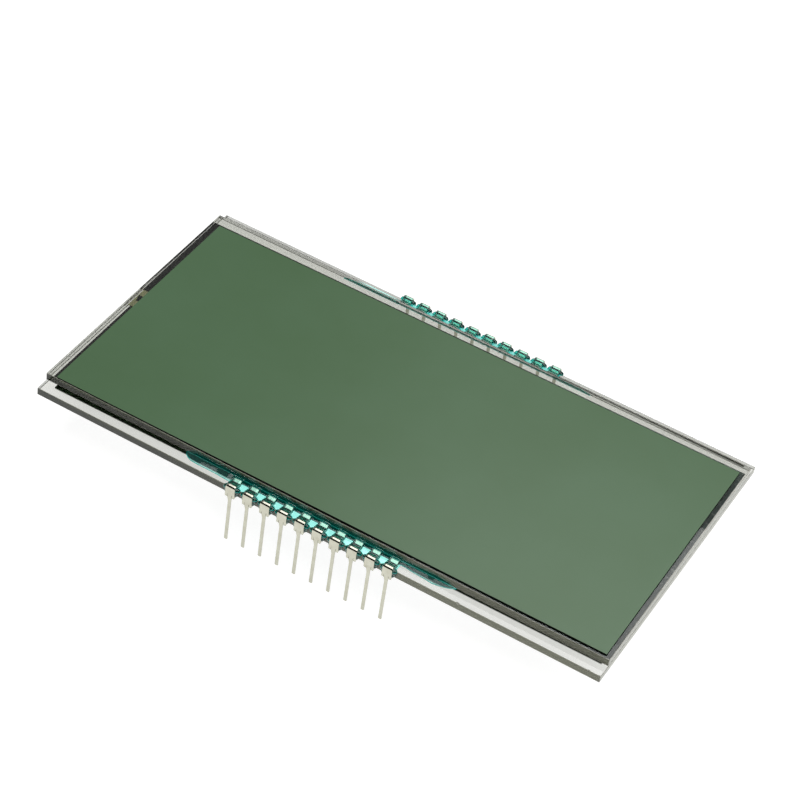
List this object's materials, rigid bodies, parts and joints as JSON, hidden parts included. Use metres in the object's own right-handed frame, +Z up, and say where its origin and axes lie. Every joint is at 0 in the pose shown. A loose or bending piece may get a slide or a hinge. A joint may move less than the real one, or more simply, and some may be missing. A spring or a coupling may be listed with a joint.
{
  "type": "segment lcd display",
  "caption": "Bare segment LCD glass cell with polarizer film and a row of clip-on pins bonded by teal resin along each long edge.",
  "frame": {"origin": "under the middle of the panel, on the plane of the leg tips", "axes": "+X along the long side, +Z up out of the viewing face, the front row of pins on the -Y side"},
  "size_m": [0.0821, 0.0456, 0.0102],
  "materials": {
    "glass": "clear float glass, edges as cut",
    "polarizer": "satin grey-green film",
    "foil": "matt silver film",
    "epoxy": "black printed epoxy",
    "glue": "clear straw-coloured cured glue",
    "crystal": "clear fluid between the plates",
    "silver": "silver paste",
    "pin_metal": "tinned bronze strip",
    "resin": "glossy see-through teal resin"
  },
  "bodies": {
    "root": {"rear_glass": "glass", "front_glass": "glass", "front_polarizer": "polarizer", "rear_polarizer": "polarizer", "reflector": "foil", "perimeter_seal": "epoxy", "fill_port_pillar": "epoxy", "end_seal": "glue", "liquid_crystal": "crystal", "crossover_dot_left": "silver", "crossover_dot_right": "silver", "resin_front": "resin", "resin_back": "resin", "pin_front_01": "pin_metal", "pin_front_02": "pin_metal", "pin_front_03": "pin_metal", "pin_front_04": "pin_metal", "pin_front_05": "pin_metal", "pin_front_06": "pin_metal", "pin_front_07": "pin_metal", "pin_front_08": "pin_metal", "pin_front_09": "pin_metal", "pin_front_10": "pin_metal", "pin_back_01": "pin_metal", "pin_back_02": "pin_metal", "pin_back_03": "pin_metal", "pin_back_04": "pin_metal", "pin_back_05": "pin_metal", "pin_back_06": "pin_metal", "pin_back_07": "pin_metal", "pin_back_08": "pin_metal", "pin_back_09": "pin_metal", "pin_back_10": "pin_metal"}
  },
  "joints": []
}
